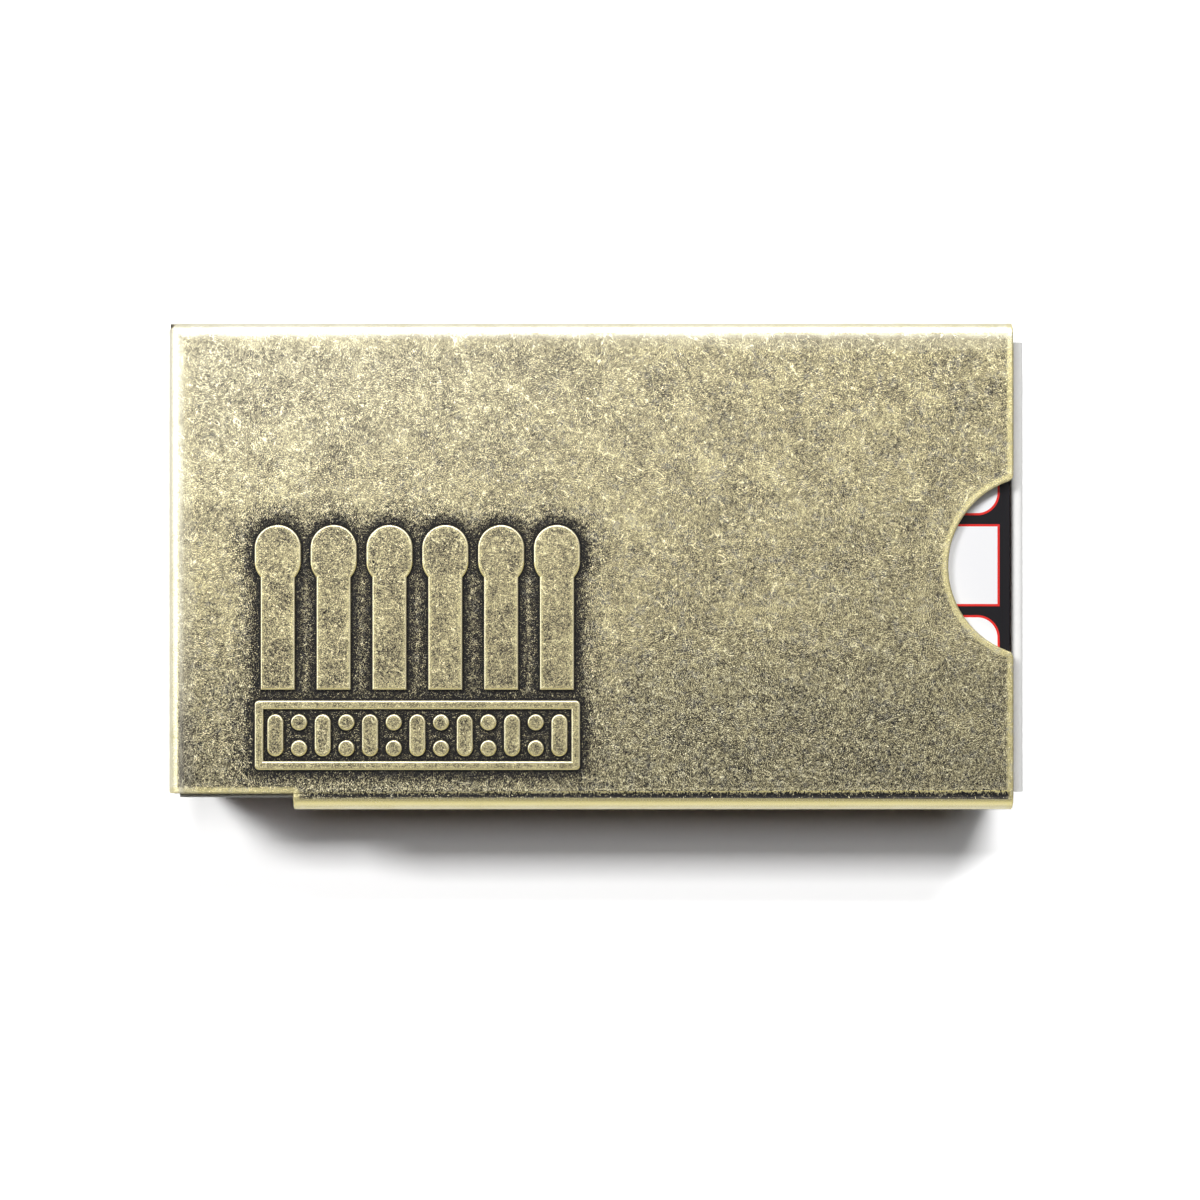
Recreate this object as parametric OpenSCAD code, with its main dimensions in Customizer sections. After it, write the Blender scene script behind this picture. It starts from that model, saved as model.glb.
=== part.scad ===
// Matchbox sleeve: a folded brass sheet that wraps a household matchbox on four sides and
// closes one end, with the printed card box, its striking coats, its tray and the matches.
// Millimetres. X runs from the closed end to the mouth, +Y to the closed side wall, +Z up.
// The origin is the middle of the sleeve's back face, which it lies on.

/* [Card box] */
// Length of the card box
box_l = 111.3; // [95:0.1:130]
// Width of the card box
box_w = 62.3; // [56:0.1:75]
// Height of the card box
box_h = 18.8; // [17:0.1:25]
// Thickness of the card
card_t = 0.45; // [0.3:0.05:0.55]
// Outside radius of a fold in the card
card_fold_r = 0.3; // [0.1:0.02:0.6]
// Height of the glue flap inside the side away from the lips
glue_flap_h = 12; // [8:0.5:14]
// Thickness of a striking coat
striker_t = 0.1; // [0.05:0.01:0.12]
// Height of a striking coat
striker_h = 14; // [10:0.5:15]

/* [Metal sleeve] */
// Thickness of the sheet
sheet_t = 1.2; // [0.8:0.1:1.6]
// Inside radius of the bends
bend_r = 0.7; // [0.4:0.1:1]
// Gap between the card box and the side wall
wall_gap = 0.15; // [0.13:0.01:0.4]
// Gap between the card box and the lips
lip_gap = 0.45; // [0.2:0.05:0.8]
// Gap under the card box
floor_gap = 0.1; // [0.05:0.05:0.3]
// Gap over the card box
roof_gap = 0.3; // [0.1:0.05:0.6]
// Gap between the card box and the end wall
end_gap = 0.3; // [0.1:0.05:0.8]
// How far the sleeve runs past the card box at the mouth
mouth_lap = 0.2; // [0:0.05:1]
// Height of each lip, outside
lip_h = 4; // [3:0.1:6]
// Length at the closed end where the lips are cut away
lip_cut_l = 16.9; // [8:0.1:30]
// How far the cut edge stands back from the start of the lip's bend
trim_back = 0.4; // [0.1:0.05:1]
// Width of the seams round the end wall
seam_w = 0.12; // [0.1:0.02:0.3]
// Radius of the relief notch where two bends meet
corner_notch_r = 0.6; // [0.4:0.05:0.8]
// Distance of the relief notch's middle from the outer faces
corner_notch_in = 0.35; // [0.2:0.05:0.4]

/* [Thumb notch] */
// Radius of the notch
notch_r = 12; // [9:0.1:15]
// How far the notch's centre lies outside the mouth
notch_out = 3.3; // [1:0.1:6]
// Radius of the rounded corners beside the notch
notch_fillet_r = 1.1; // [0.5:0.1:2.5]

/* [Lip crease] */
// Radius of the tool that presses the crease beside a lip
crease_r = 1.2; // [0.8:0.1:2]
// Depth of the crease at the cut end of the lip
crease_shallow = 0.03; // [0.01:0.01:0.08]
// Depth of the crease at the mouth
crease_deep = 0.15; // [0.09:0.01:0.25]
// Width of plain sheet left between the crease and the mouth
crease_stop = 0.5; // [0.3:0.1:2]
// Distance from the start of the lip's bend in to the middle of the crease
crease_in = 0.28; // [0:0.02:0.5]

/* [Raised emblem] */
// Height of the emblem above the sheet
emblem_h = 0.45; // [0.3:0.05:0.8]
// Radius of the emblem's rounded shoulders
emblem_edge_r = 0.25; // [0.1:0.05:0.25]
// Width of the emblem
emblem_w = 43.4; // [38:0.1:60]
// Distance from the closed end to the emblem
emblem_from_end = 11.8; // [8:0.1:20]
// Distance from the lip side to the emblem
emblem_from_lips = 5.45; // [4:0.05:10]
// Length of a match in the emblem
emblem_match_l = 22; // [16:0.5:26]
// Width of a stick in the emblem
emblem_stick_w = 4.6; // [3:0.1:5]
// Radius of a match head in the emblem
emblem_head_r = 3.1; // [2.4:0.1:3.2]
// Length of a match head in the emblem
emblem_head_l = 8; // [6.5:0.1:10]
// Number of matches in the emblem
emblem_matches = 6; // [3:1:6]
// Height of the panel under the matches
panel_h = 9.3; // [7:0.1:11]
// Gap between the panel and the matches
panel_gap = 1.4; // [0.8:0.1:2]
// Width of the panel's border
panel_bar = 1.2; // [0.8:0.1:1.5]
// Radius of a dot in the panel, and of the round ends of its ribs
dot_r = 1.1; // [0.6:0.05:1.1]
// Number of columns along the panel, ribs and dots by turns
dot_columns = 13; // [5:2:13]
// Number of dots up the panel
dot_rows = 2; // [2:1:3]

/* [Tray] */
// How far the tray stands out of the card box
tray_out = 2.1; // [0:0.1:10]
// Gap between the tray and each side of the card box
tray_side_gap = 0.2; // [0.1:0.05:0.5]
// Gap under the tray
tray_floor_gap = 0.1; // [0.05:0.05:0.3]
// Gap between the tray's rim and the top of the card box
tray_rim_gap = 0.5; // [0.2:0.1:1]
// Outside radius of the fold along the top of an end wall
end_fold_r = 0.8; // [0.7:0.05:1.2]
// Length of the tuck flaps inside an end wall
tuck_l = 14; // [8:0.5:20]

/* [Matches] */
// Width of a square stick
stick_w = 2; // [1.6:0.1:2.1]
// Radius of a match head
head_r = 1.5; // [1.49:0.01:1.6]
// Length of a match head
head_l = 4.5; // [3.5:0.1:6]
// Thickness of the head beyond the end of the stick
head_tip = 1.1; // [0.5:0.1:1.4]
// Gap between neighbouring matches
match_gap = 0.1; // [0.05:0.05:0.3]
// Gap between the heads and the side of the tray
match_end_gap = 0.5; // [0.3:0.1:1.5]
// Gap between the tails and the other side of the tray
match_tail_gap = 3.15; // [1:0.05:12]

/* [Hidden] */
$fn = 48;
cut_over = 1;

// Sleeve
bend_out_r = bend_r + sheet_t;
sleeve_l = sheet_t + end_gap + box_l + mouth_lap;
sleeve_w = 2 * sheet_t + wall_gap + box_w + lip_gap;
sleeve_h = 2 * sheet_t + floor_gap + box_h + roof_gap;
end_x = -sleeve_l / 2;
mouth_x = sleeve_l / 2;
lip_y = -sleeve_w / 2;
wall_y = sleeve_w / 2;
trim_y = lip_y + bend_out_r + trim_back;
lip_start_x = end_x + lip_cut_l;

// Card box
box_x = end_x + sheet_t + end_gap;
box_y = lip_y + sheet_t + lip_gap;
box_z = sheet_t + floor_gap;

// Tray
tray_x = box_x + tray_out;
tray_l = box_l;
tray_y = box_y + card_t + tray_side_gap;
tray_w = box_w - 3 * card_t - 2 * tray_side_gap;
tray_z = box_z + card_t + tray_floor_gap;
tray_h = box_h - 2 * card_t - tray_floor_gap - tray_rim_gap;
end_wall_t = 2 * end_fold_r;

// Matches
match_l = tray_w - 2 * card_t - match_end_gap - match_tail_gap;
match_pitch = 2 * head_r + match_gap;
matches_in_row = floor((tray_l - 2 * end_wall_t - match_gap) / match_pitch);
row_x = tray_x + tray_l / 2 - (matches_in_row - 1) * match_pitch / 2;
head_y = tray_y + tray_w - card_t - match_end_gap - head_r;
bed_z = tray_z + card_t + match_gap;
// Swing of each match about its head, in degrees, and how the swing changes along a row
swing_deg = 0.4;
swing_step = 137.5;
layer_step = 71;

// Rectangle from [x0, y0] to [x1, y1] with four round corners
module round_area(x0, y0, x1, y1, r) {
    translate([x0 + r, y0]) square([x1 - x0 - 2 * r, y1 - y0]);
    translate([x0, y0 + r]) square([x1 - x0, y1 - y0 - 2 * r]);
    for (x = [x0 + r, x1 - r], y = [y0 + r, y1 - r])
        translate([x, y]) circle(r);
}

// Rectangle from [x0, y0] to [x1, y1] whose corner at [x0, y1] is round
module one_round_area(x0, y0, x1, y1, r) {
    translate([x0 + r, y0]) square([x1 - x0 - r, y1 - y0]);
    translate([x0, y0]) square([x1 - x0, y1 - y0 - r]);
    translate([x0 + r, y1 - r]) circle(r);
}

// Runs an outline drawn as [y, z] along X, from x0 to x1
module along_x(x0, x1) {
    translate([x0, 0, 0]) rotate([90, 0, 90]) linear_extrude(x1 - x0) children();
}

// Runs an outline drawn as [x, z] along Y, from y0 to y1
module along_y(y0, y1) {
    translate([0, y1, 0]) rotate([90, 0, 0]) linear_extrude(y1 - y0) children();
}

// Box from its lowest corner to its highest corner
module box_between(low, high) {
    translate(low) cube(high - low);
}

// Outside of the folded sheet: round along both long sides and over the end wall
module sleeve_outside() {
    intersection() {
        along_x(end_x, mouth_x) round_area(lip_y, 0, wall_y, sleeve_h, bend_out_r);
        along_y(lip_y, wall_y)
            one_round_area(end_x, 0, mouth_x, sleeve_h, bend_out_r);
    }
}

// Space inside the folded sheet, open at the mouth
module sleeve_inside() {
    intersection() {
        along_x(end_x, mouth_x + cut_over)
            round_area(lip_y + sheet_t, sheet_t, wall_y - sheet_t, sleeve_h - sheet_t, bend_r);
        along_y(lip_y, wall_y)
            one_round_area(
                end_x + sheet_t, sheet_t, mouth_x + cut_over, sleeve_h - sheet_t, bend_r
            );
    }
}

// Open side between the two lips, and the end of that side where the lips are cut away
module lip_side_cuts() {
    box_between(
        [end_x - cut_over, lip_y - cut_over, lip_h],
        [mouth_x + cut_over, lip_y + bend_out_r, sleeve_h - lip_h]
    );
    box_between(
        [end_x - cut_over, lip_y - cut_over, -cut_over],
        [lip_start_x, trim_y, sleeve_h + cut_over]
    );
}

// Seams where the end wall meets the back and the side wall, and the relief notch above them
module end_wall_seams() {
    box_between(
        [end_x + sheet_t, lip_y, -cut_over],
        [end_x + sheet_t + seam_w, wall_y - sheet_t, sheet_t + cut_over]
    );
    box_between(
        [end_x - cut_over, wall_y - sheet_t - seam_w, -cut_over],
        [end_x + sheet_t + seam_w, wall_y - sheet_t, sleeve_h - bend_out_r]
    );
    notch_x = end_x + corner_notch_in;
    notch_y = wall_y - corner_notch_in;
    translate([notch_x, notch_y, sleeve_h - bend_out_r - corner_notch_r])
        cylinder(r = corner_notch_r, h = bend_out_r + corner_notch_r + cut_over);
}

// Round notch at the mouth, with rounded corners where it runs out into the edge
module notch_outline() {
    fillet_x = mouth_x - notch_fillet_r;
    reach = notch_out + notch_fillet_r;
    span = notch_r + notch_fillet_r;
    fillet_y = sqrt(span * span - reach * reach);
    touch_x = mouth_x + notch_out - reach * notch_r / span;
    touch_y = fillet_y * notch_r / span;
    difference() {
        union() {
            translate([mouth_x + notch_out, 0]) circle(notch_r);
            polygon([
                [mouth_x + notch_out, 0],
                [touch_x, touch_y],
                [fillet_x, fillet_y],
                [mouth_x + notch_out, fillet_y],
                [mouth_x + notch_out, -fillet_y],
                [fillet_x, -fillet_y],
                [touch_x, -touch_y]
            ]);
        }
        for (side = [-1, 1])
            translate([fillet_x, side * fillet_y]) circle(notch_fillet_r);
    }
}

// Thumb notches through the front and the back
module thumb_notches() {
    translate([0, 0, -cut_over]) linear_extrude(sleeve_h + 2 * cut_over) notch_outline();
}

// Crease pressed beside the start of a lip's bend, deeper and wider towards the mouth
module lip_crease() {
    crease_y = lip_y + bend_out_r + crease_in;
    run = mouth_x - crease_stop - lip_start_x;
    slope = atan((crease_deep - crease_shallow) / run);
    translate([lip_start_x, crease_y, sleeve_h + crease_r - crease_shallow])
        rotate([0, 90 + slope, 0])
            cylinder(r = crease_r, h = run);
}

// The same crease on the back
module back_crease() {
    translate([0, 0, sleeve_h]) mirror([0, 0, 1]) lip_crease();
}

// Section of a raised stroke, from half way down the sheet to the stroke's rounded shoulders
module stroke_section(width) {
    flat_w = width - 2 * emblem_edge_r;
    root = sheet_t / 2;
    translate([-width / 2, -root]) square([width, root + emblem_h - emblem_edge_r]);
    translate([-flat_w / 2, -root]) square([flat_w, root + emblem_h]);
    for (side = [-1, 1])
        translate([side * flat_w / 2, emblem_h - emblem_edge_r]) circle(emblem_edge_r);
}

// Raised round pad
module pad(r) {
    rotate_extrude()
        intersection() {
            stroke_section(2 * r);
            translate([0, -sheet_t]) square([r, sheet_t + emblem_h]);
        }
}

// Raised stroke with round ends, from [x0, y0] along X or Y to [x1, y1]
module stroke(x0, y0, x1, y1, width) {
    translate([x0, y0, 0]) pad(width / 2);
    translate([x1, y1, 0]) pad(width / 2);
    if (x1 > x0)
        translate([0, y0, 0]) along_x(x0, x1) stroke_section(width);
    else
        translate([x0, 0, 0]) along_y(y0, y1) stroke_section(width);
}

// One match of the emblem, from its foot up to its head
module emblem_match() {
    head_w = 2 * emblem_head_r;
    intersection() {
        along_y(0, emblem_match_l - emblem_head_r) stroke_section(emblem_stick_w);
        along_x(-emblem_stick_w / 2, emblem_stick_w / 2)
            translate([emblem_match_l / 2, 0]) stroke_section(emblem_match_l);
    }
    stroke(
        0, emblem_match_l - emblem_head_l + emblem_head_r,
        0, emblem_match_l - emblem_head_r, head_w
    );
}

// Upright ribs and columns of dots by turns, inside a plain border
module emblem_panel() {
    low = panel_bar / 2;
    right = emblem_w - panel_bar / 2;
    top = panel_h - panel_bar / 2;
    column_step = (emblem_w - 2 * panel_bar) / dot_columns;
    row_step = (panel_h - 2 * panel_bar) / dot_rows;
    first_y = panel_bar + row_step / 2;
    last_y = panel_h - first_y;
    stroke(low, low, right, low, panel_bar);
    stroke(low, top, right, top, panel_bar);
    stroke(low, low, low, top, panel_bar);
    stroke(right, low, right, top, panel_bar);
    for (column = [0 : dot_columns - 1]) {
        x = panel_bar + column_step * (column + 0.5);
        if (column % 2 == 0)
            stroke(x, first_y, x, last_y, 2 * dot_r);
        else
            for (row = [0 : dot_rows - 1])
                translate([x, first_y + row * row_step, 0]) pad(dot_r);
    }
}

// Emblem raised on the front: a row of matches over a panel of ribs and dots
module emblem() {
    match_step = (emblem_w - 2 * emblem_head_r) / (emblem_matches - 1);
    translate([end_x + emblem_from_end, lip_y + emblem_from_lips, sleeve_h]) {
        emblem_panel();
        for (i = [0 : emblem_matches - 1])
            translate([emblem_head_r + i * match_step, panel_h + panel_gap, 0]) emblem_match();
    }
}

// Folded metal sleeve, one sheet
module sleeve_shell() {
    color([0.76, 0.71, 0.51]) {
        difference() {
            sleeve_outside();
            sleeve_inside();
            lip_side_cuts();
            end_wall_seams();
            thumb_notches();
            lip_crease();
            back_crease();
        }
        emblem();
    }
}

// Printed card box: a folded tube, open at both ends, with a glue flap inside
module card_box() {
    color([0.13, 0.13, 0.14])
        translate([0, box_y, box_z]) {
            along_x(box_x, box_x + box_l)
                difference() {
                    round_area(0, 0, box_w, box_h, card_fold_r);
                    translate([card_t, card_t]) square([box_w - 2 * card_t, box_h - 2 * card_t]);
                }
            box_between(
                [box_x, box_w - 2 * card_t, (box_h - glue_flap_h) / 2],
                [box_x + box_l, box_w - card_t, (box_h + glue_flap_h) / 2]
            );
        }
}

// Striking coat on one side of the card box, from y0 outwards or inwards
module striker(y0) {
    color([0.24, 0.15, 0.12])
        translate([box_x, y0, box_z + (box_h - striker_h) / 2])
            cube([box_l, striker_t, striker_h]);
}

// Striking coat that shows between the lips
module striker_lip_side() {
    striker(box_y - striker_t);
}

// Striking coat that faces the side wall
module striker_wall_side() {
    striker(box_y + box_w);
}

// End wall of the tray at X zero: a card folded over its top, with the tuck flaps inside it
module tray_end_wall() {
    fold_z = tray_h - end_fold_r;
    along_y(0, tray_w) {
        square([card_t, fold_z]);
        translate([end_wall_t - card_t, 0]) square([card_t, fold_z]);
        intersection() {
            translate([end_fold_r, fold_z])
                difference() {
                    circle(end_fold_r);
                    circle(end_fold_r - card_t);
                }
            translate([0, fold_z]) square([end_wall_t, end_fold_r]);
        }
    }
    for (y = [0, tray_w - tuck_l])
        box_between(
            [0, y, 0],
            [end_wall_t, y + tuck_l, fold_z]
        );
}

// Card tray that holds the matches
module card_tray() {
    color([0.9, 0.89, 0.87])
        translate([tray_x, tray_y, tray_z]) {
            cube([tray_l, tray_w, card_t]);
            for (y = [0, tray_w - card_t])
                translate([0, y, 0]) cube([tray_l, card_t, tray_h - end_fold_r]);
            tray_end_wall();
            translate([tray_l, 0, 0]) mirror([1, 0, 0]) tray_end_wall();
        }
}

// Square stick of a match that points to +Y, with the centre of its head's tip at the origin
module match_stick() {
    tail = head_r - match_l;
    translate([-stick_w / 2, tail, -stick_w / 2])
        cube([stick_w, head_r - head_tip - tail, stick_w]);
}

// Head of the same match, dipped over the end of the stick
module match_head() {
    barrel = head_l - 2 * head_r;
    difference() {
        union() {
            sphere(head_r);
            rotate([90, 0, 0]) cylinder(r = head_r, h = barrel);
            translate([0, -barrel, 0]) sphere(head_r);
        }
        match_stick();
    }
}

// Puts a match at its place in a layer. The heads are thicker than the sticks, so each layer
// leans a little more than the one under it
module in_layer(layer, i) {
    head_z = bed_z + head_r + (layer - 1) * match_pitch;
    tail_z = bed_z + stick_w / 2 + (layer - 1) * (stick_w + match_gap);
    lean = asin((head_z - tail_z) / match_l);
    swing = swing_deg * sin(swing_step * i + layer_step * layer);
    translate([row_x + i * match_pitch, head_y, head_z]) rotate([lean, 0, swing]) children();
}

// Sticks of one layer
module match_sticks(layer) {
    color([0.86, 0.74, 0.56])
        for (i = [0 : matches_in_row - 1])
            in_layer(layer, i) match_stick();
}

// Heads of one layer
module match_heads(layer) {
    color([0.55, 0.13, 0.1])
        for (i = [0 : matches_in_row - 1])
            in_layer(layer, i) match_head();
}

sleeve_shell();
card_box();
striker_lip_side();
striker_wall_side();
card_tray();
match_sticks(1);  // match_sticks_1
match_heads(1);  // match_heads_1
match_sticks(2);  // match_sticks_2
match_heads(2);  // match_heads_2
match_sticks(3);  // match_sticks_3
match_heads(3);  // match_heads_3
match_sticks(4);  // match_sticks_4
match_heads(4);  // match_heads_4
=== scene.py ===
"""Looks of a folded antique brass sleeve that holds a household matchbox.

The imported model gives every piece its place. This script dresses the pieces with procedural
finishes, lights them softly from the wall side and the closed end, and sets the camera straight
above. Patterns are worked out in millimetres from Object coordinates.
"""

import logging
import math
from dataclasses import dataclass
from enum import Enum
from typing import Callable, Sequence, Union

import bpy
from mathutils import Matrix, Vector


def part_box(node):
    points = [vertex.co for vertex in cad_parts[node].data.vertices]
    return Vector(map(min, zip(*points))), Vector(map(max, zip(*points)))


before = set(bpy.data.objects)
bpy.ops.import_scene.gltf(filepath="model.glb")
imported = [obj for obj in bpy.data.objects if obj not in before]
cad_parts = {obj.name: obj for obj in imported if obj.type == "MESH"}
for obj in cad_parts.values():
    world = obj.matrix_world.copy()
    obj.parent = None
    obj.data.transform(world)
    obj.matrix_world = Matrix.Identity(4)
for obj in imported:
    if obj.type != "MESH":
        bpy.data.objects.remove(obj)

log = logging.getLogger("matchbox_sleeve")
MM = 0.001
Colour = tuple[float, float, float]
Value = Union["Field", float]
Limits = tuple[float, float]
Stretch = tuple[float, float, float]


def box_mm(node: str) -> tuple[Vector, Vector]:
    """Gives the lowest and the highest corner of a node's box, in millimetres."""
    low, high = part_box(node)
    return low / MM, high / MM


def add_object(name: str, data: bpy.types.ID) -> bpy.types.Object:
    """Puts a mesh, a lamp or a camera into the scene under a name."""
    made = bpy.data.objects.new(name, data)
    bpy.context.scene.collection.objects.link(made)
    return made


def srgb(red: int, green: int, blue: int) -> Colour:
    """Turns a colour as a screen shows it, 0 to 255, into the linear one that shaders take.

    Args:
        red: Red, 0 to 255.
        green: Green, 0 to 255.
        blue: Blue, 0 to 255.

    Returns:
        The linear colour, 0 to 1.
    """

    def linear(level: int) -> float:
        """Undoes the screen's curve for one channel."""
        share = level / 255
        return share / 12.92 if share <= 0.04045 else ((share + 0.055) / 1.055) ** 2.4

    return linear(red), linear(green), linear(blue)


class Field:
    """A value that varies over a surface. Arithmetic on it adds Math nodes to its graph."""

    def __init__(self, graph: "Graph", socket: bpy.types.NodeSocket) -> None:
        """Keeps the graph and the socket that the value comes from."""
        self.graph = graph
        self.socket = socket

    def __add__(self, other: Value) -> "Field":
        """Adds."""
        return self.graph.math("ADD", self, other)

    def __radd__(self, other: Value) -> "Field":
        """Adds."""
        return self.graph.math("ADD", other, self)

    def __sub__(self, other: Value) -> "Field":
        """Subtracts."""
        return self.graph.math("SUBTRACT", self, other)

    def __rsub__(self, other: Value) -> "Field":
        """Subtracts this from the other."""
        return self.graph.math("SUBTRACT", other, self)

    def __mul__(self, other: Value) -> "Field":
        """Multiplies."""
        return self.graph.math("MULTIPLY", self, other)

    def __rmul__(self, other: Value) -> "Field":
        """Multiplies."""
        return self.graph.math("MULTIPLY", other, self)

    def __truediv__(self, other: Value) -> "Field":
        """Divides."""
        return self.graph.math("DIVIDE", self, other)

    def __rtruediv__(self, other: Value) -> "Field":
        """Divides the other by this."""
        return self.graph.math("DIVIDE", other, self)

    @staticmethod
    def none(graph: "Graph") -> "Field":
        """Gives a field that is 0 everywhere, to gather others in."""
        return graph.math("MULTIPLY", 0.0, 0.0)

    def size(self) -> "Field":
        """Drops the sign."""
        return self.graph.math("ABSOLUTE", self)

    def whole(self) -> "Field":
        """Rounds down."""
        return self.graph.math("FLOOR", self)

    def least(self, other: Value) -> "Field":
        """Takes the lesser of the two."""
        return self.graph.math("MINIMUM", self, other)

    def most(self, other: Value) -> "Field":
        """Takes the greater of the two."""
        return self.graph.math("MAXIMUM", self, other)

    def fade(self, start: float, end: float) -> "Field":
        """Runs smoothly from 0 where this is at start to 1 where it is at end."""
        node = self.graph.node("ShaderNodeMapRange", interpolation_type="SMOOTHSTEP")
        self.graph.fill(node, Value=self, From_Min=start, From_Max=end)
        return Field(self.graph, node.outputs["Result"])


@dataclass(frozen=True)
class Grain:
    """Settings of a noise texture.

    Attributes:
        per_unit: How many features lie in a unit, which is a millimetre unless another is given.
        detail: How many finer copies it adds.
        rough: How strong the finer copies are.
    """

    per_unit: float
    detail: float = 2.0
    rough: float = 0.5


@dataclass
class Place:
    """The point of the surface that is being shaded, in millimetres, and which way it faces."""

    vector: Field
    x: Field
    y: Field
    z: Field
    facing_x: Field
    facing_y: Field
    facing_z: Field


class Graph:
    """The nodes of one material or one node group."""

    def __init__(self, tree: bpy.types.NodeTree) -> None:
        """Starts an empty graph in the tree."""
        self.tree = tree
        self.tree.nodes.clear()

    def node(self, kind: str, **settings: object) -> bpy.types.Node:
        """Adds a node.

        Args:
            kind: Blender's name of the node's type.
            **settings: Properties to set on it.

        Returns:
            The new node.
        """
        node = self.tree.nodes.new(kind)
        for name, value in settings.items():
            setattr(node, name, value)
        return node

    def feed(self, socket: bpy.types.NodeSocket, value: object) -> None:
        """Links a field into a socket, or writes a plain value on it.

        Args:
            socket: The input to fill.
            value: A Field, a number, a vector or a colour.
        """
        if isinstance(value, Field):
            self.tree.links.new(value.socket, socket)
        elif socket.type == "RGBA" and len(value) == 3:
            socket.default_value = (*value, 1.0)
        else:
            socket.default_value = value

    def fill(self, node: bpy.types.Node, **values: object) -> None:
        """Feeds a node's inputs.

        Args:
            node: The node.
            **values: The values, by the inputs' names with underscores for spaces.
        """
        for name, value in values.items():
            self.feed(node.inputs[name.replace("_", " ")], value)

    def math(self, operation: str, *values: Value) -> Field:
        """Adds a Math node that works on the values."""
        node = self.node("ShaderNodeMath", operation=operation)
        for socket, value in zip(node.inputs, values):
            self.feed(socket, value)
        return Field(self, node.outputs[0])

    def vector(self, x: Value, y: Value, z: Value) -> Field:
        """Joins three values into a vector."""
        node = self.node("ShaderNodeCombineXYZ")
        for socket, value in zip(node.inputs, (x, y, z)):
            self.feed(socket, value)
        return Field(self, node.outputs[0])

    def split(self, vector: Field) -> tuple[Field, Field, Field]:
        """Takes a vector apart."""
        node = self.node("ShaderNodeSeparateXYZ")
        self.feed(node.inputs[0], vector)
        return tuple(Field(self, output) for output in node.outputs)

    def place(self) -> Place:
        """Gives the shaded point, from Object coordinates, in millimetres."""
        coordinates = self.node("ShaderNodeTexCoord")
        scale = self.node("ShaderNodeVectorMath", operation="SCALE")
        self.tree.links.new(coordinates.outputs["Object"], scale.inputs[0])
        scale.inputs["Scale"].default_value = 1 / MM
        vector = Field(self, scale.outputs[0])
        facing = Field(self, coordinates.outputs["Normal"])
        return Place(vector, *self.split(vector), *self.split(facing))

    def turned(self, vector: Field, degrees: float, stretch: Stretch) -> Field:
        """Turns a vector about Z and scales it, for grain that runs one way.

        Args:
            vector: The vector, in millimetres.
            degrees: The turn.
            stretch: Scale along each axis after the turn.

        Returns:
            The new vector.
        """
        turn = self.node("ShaderNodeVectorRotate", rotation_type="Z_AXIS")
        self.feed(turn.inputs["Vector"], vector)
        turn.inputs["Angle"].default_value = math.radians(degrees)
        scale = self.node("ShaderNodeVectorMath", operation="MULTIPLY")
        self.tree.links.new(turn.outputs[0], scale.inputs[0])
        scale.inputs[1].default_value = stretch
        return Field(self, scale.outputs[0])

    def warped(self, vector: Field, per_mm: float, reach: float) -> Field:
        """Bends a vector by slow noise, so that lines laid on it curve.

        Args:
            vector: The vector, in millimetres.
            per_mm: How quickly the bending changes.
            reach: How far a point may move, in millimetres.

        Returns:
            The bent vector.
        """
        noise = self.node("ShaderNodeTexNoise")
        self.fill(noise, Vector=vector, Scale=per_mm, Detail=1.0)
        shift = self.node("ShaderNodeVectorMath", operation="MULTIPLY_ADD")
        self.tree.links.new(noise.outputs["Color"], shift.inputs[0])
        shift.inputs[1].default_value = (2 * reach,) * 3
        self.feed(shift.inputs[2], vector)
        return Field(self, shift.outputs[0])

    def noise(self, vector: Field, grain: Grain, units_per_mm: Value = 1.0) -> Field:
        """Adds a noise texture.

        Args:
            vector: Where to read it, in millimetres.
            grain: Its settings.
            units_per_mm: How many of the grain's units lie in a millimetre.

        Returns:
            The noise, around 0.5.
        """
        node = self.node("ShaderNodeTexNoise")
        scale = units_per_mm * grain.per_unit
        self.fill(node, Vector=vector, Scale=scale, Detail=grain.detail, Roughness=grain.rough)
        return Field(self, node.outputs["Fac"])

    def frayed(self, vector: Field, grain: Grain, reach: float) -> Field:
        """Gives noise around 0 to add to a distance, so that an edge frays by the reach."""
        return (self.noise(vector, grain) - 0.5) * reach

    def mix(self, mask: Value, first: object, second: object) -> Field:
        """Blends two colours: the first where the mask is 0, the second where it is 1."""
        node = self.node("ShaderNodeMix", data_type="RGBA")
        self.feed(node.inputs["Factor"], mask)
        self.feed(node.inputs[6], first)
        self.feed(node.inputs[7], second)
        return Field(self, node.outputs[2])

    def lerp(self, mask: Value, first: Value, second: Value) -> Field:
        """Blends two numbers: the first where the mask is 0, the second where it is 1."""
        node = self.node("ShaderNodeMix", data_type="FLOAT")
        self.feed(node.inputs["Factor"], mask)
        self.feed(node.inputs[2], first)
        self.feed(node.inputs[3], second)
        return Field(self, node.outputs[0])

    def ramp(self, value: Field, stops: Sequence[tuple[float, Colour]]) -> Field:
        """Turns a value into a colour along a scale of colour stops."""
        node = self.node("ShaderNodeValToRGB")
        self.feed(node.inputs[0], value)
        elements = node.color_ramp.elements
        while len(elements) < len(stops):
            elements.new(0.5)
        for element, (position, colour) in zip(elements, stops):
            element.position = position
            element.color = (*colour, 1.0)
        return Field(self, node.outputs[0])

    def end_in(self, shader: bpy.types.Node, end: str = "ShaderNodeOutputMaterial") -> None:
        """Ends the graph in a shader, for a material or for the kind of end that is given."""
        self.tree.links.new(shader.outputs[0], self.node(end).inputs["Surface"])

    def grey(self, colour: Field) -> Field:
        """Takes the hue out of a colour."""
        node = self.node("ShaderNodeRGBToBW")
        self.feed(node.inputs[0], colour)
        return Field(self, node.outputs[0])

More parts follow.
